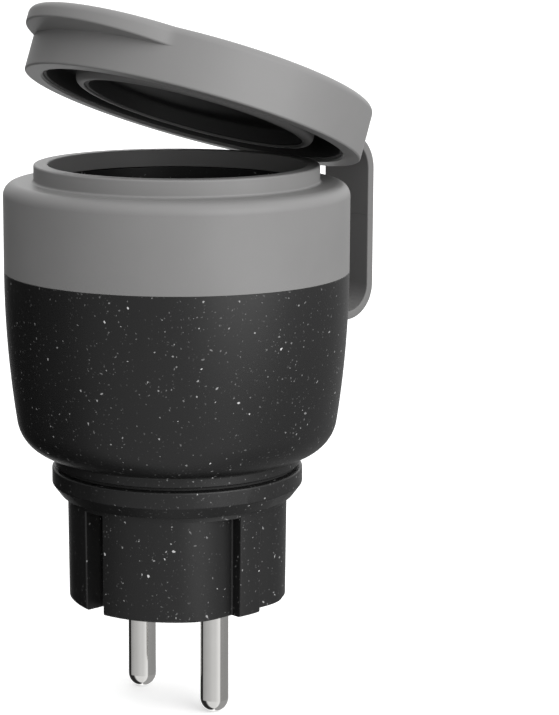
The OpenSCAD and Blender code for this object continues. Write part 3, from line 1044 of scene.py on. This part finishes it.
def make_studio():
    """A wide soft room, whose brightness round each band of heights is (azimuth, radiance) stops.

    Azimuths are in degrees from the camera's side, and positive ones are to the camera's right.
    """
    lowest = (
        (-180, 1.20), (-168, 1.00), (-156, 0.03), (-110, 0.02), (-80, 0.03), (-57, 0.72),
        (0, 0.74), (45, 0.85), (52, 0.34), (165, 0.34), (180, 1.20),
    )
    below = (
        (-180, 1.20), (-168, 1.00), (-156, 0.03), (-110, 0.02), (-104, 0.36), (-60, 0.46),
        (0, 0.62), (45, 0.85), (52, 0.28), (165, 0.28), (180, 1.20),
    )
    low_band = (
        (-180, 1.30), (-168, 0.90), (-152, 0.03), (-120, 0.01), (-80, 0.01), (-52, 0.56),
        (-15, 0.58), (15, 0.50), (48, 0.95), (75, 0.85), (95, 0.55), (124, 0.30),
        (164, 0.50), (180, 1.30),
    )
    high_band = (
        (-180, 2.00), (-162, 1.00), (-140, 0.20), (-85, 0.14), (-50, 0.38), (-15, 0.64),
        (15, 0.66), (45, 1.10), (75, 1.05), (110, 0.90), (165, 1.30), (180, 2.00),
    )
    above = (
        (-180, 1.3), (-120, 1.1), (-80, 1.0), (-40, 1.15), (0, 1.40), (60, 1.5), (180, 1.3),
    )
    key_azimuth = CAMERA_AZIMUTH + math.radians(42)
    key_place = (0.95 * math.cos(key_azimuth), 0.95 * math.sin(key_azimuth), 0.30)
    area_light("key", key_place, aim=(0, 0, 0.05), size=0.9, power=7.5)
    world = bpy.data.worlds.new("studio")
    bpy.context.scene.world = world
    world.use_nodes = True
    tree = world.node_tree
    background = tree.nodes["Background"]

    def add(kind, **settings):
        made = tree.nodes.new(kind)
        for key, value in settings.items():
            setattr(made, key, value)
        return made

    def number(operation, a, b=None):
        made = add("ShaderNodeMath", operation=operation)
        for socket, value in zip(made.inputs, (a, b)):
            if isinstance(value, bpy.types.NodeSocket):
                tree.links.new(value, socket)
            elif value is not None:
                socket.default_value = value
        return made.outputs[0]

    def towards(axis):
        made = add("ShaderNodeVectorMath", operation="DOT_PRODUCT")
        tree.links.new(direction, made.inputs[0])
        made.inputs[1].default_value = axis
        return made.outputs["Value"]

    def round_ramp(stops):
        made = add("ShaderNodeValToRGB")
        made.color_ramp.interpolation = "EASE"
        elements = made.color_ramp.elements
        while len(elements) < len(stops):
            elements.new(0.5)
        for element, (azimuth, level) in zip(elements, stops):
            element.position = (azimuth + 180) / 360
            element.color = (level, level, level, 1)
        tree.links.new(turn, made.inputs[0])
        return made.outputs["Color"]

    def fade(start, end, a, b):
        step = add("ShaderNodeMapRange", interpolation_type="SMOOTHSTEP")
        step.inputs["From Min"].default_value = math.sin(math.radians(start))
        step.inputs["From Max"].default_value = math.sin(math.radians(end))
        tree.links.new(height, step.inputs["Value"])
        made = add("ShaderNodeMix", data_type="RGBA")
        tree.links.new(step.outputs["Result"], made.inputs[0])
        tree.links.new(a, made.inputs[6])
        tree.links.new(b, made.inputs[7])
        return made.outputs[2]

    coordinates = add("ShaderNodeTexCoord")
    direction = coordinates.outputs["Generated"]
    front = towards((math.cos(CAMERA_AZIMUTH), math.sin(CAMERA_AZIMUTH), 0))
    right = towards((-math.sin(CAMERA_AZIMUTH), math.cos(CAMERA_AZIMUTH), 0))
    height = towards((0, 0, 1))
    turn = number("ARCTAN2", right, front)
    turn = number("MULTIPLY", turn, 1 / (2 * math.pi))
    turn = number("ADD", turn, 0.5)
    sky = fade(-22, -19.5, round_ramp(lowest), round_ramp(below))
    sky = fade(-16, -13.5, sky, round_ramp(low_band))
    sky = fade(-4, 6, sky, round_ramp(high_band))
    sky = fade(14, 40, sky, round_ramp(above))
    tree.links.new(sky, background.inputs["Color"])
    background.inputs["Strength"].default_value = 1.0


def make_camera():
    """The camera, from its place, its heading, its dip and a slight roll."""
    distance, height = 0.4189, 0.1211
    heading, dip, roll = math.radians(46.423), math.radians(10.77), math.radians(0.36)
    data = bpy.data.cameras.new("camera")
    data.sensor_fit = "VERTICAL"
    data.sensor_height = 36
    data.lens = 126.18
    data.clip_start = 0.01
    data.clip_end = 100
    camera = bpy.data.objects.new("camera", data)
    x, y = distance * math.cos(CAMERA_AZIMUTH), distance * math.sin(CAMERA_AZIMUTH)
    turn = Matrix.Rotation(heading, 4, "Z")
    turn = turn @ Matrix.Rotation(math.pi / 2 - dip, 4, "X")
    turn = turn @ Matrix.Rotation(roll, 4, "Z")
    camera.matrix_world = Matrix.Translation((x, y, height)) @ turn
    bpy.context.scene.collection.objects.link(camera)
    bpy.context.scene.camera = camera


make_floor()
make_studio()
make_camera()
bpy.context.scene.view_settings.view_transform = "Standard"
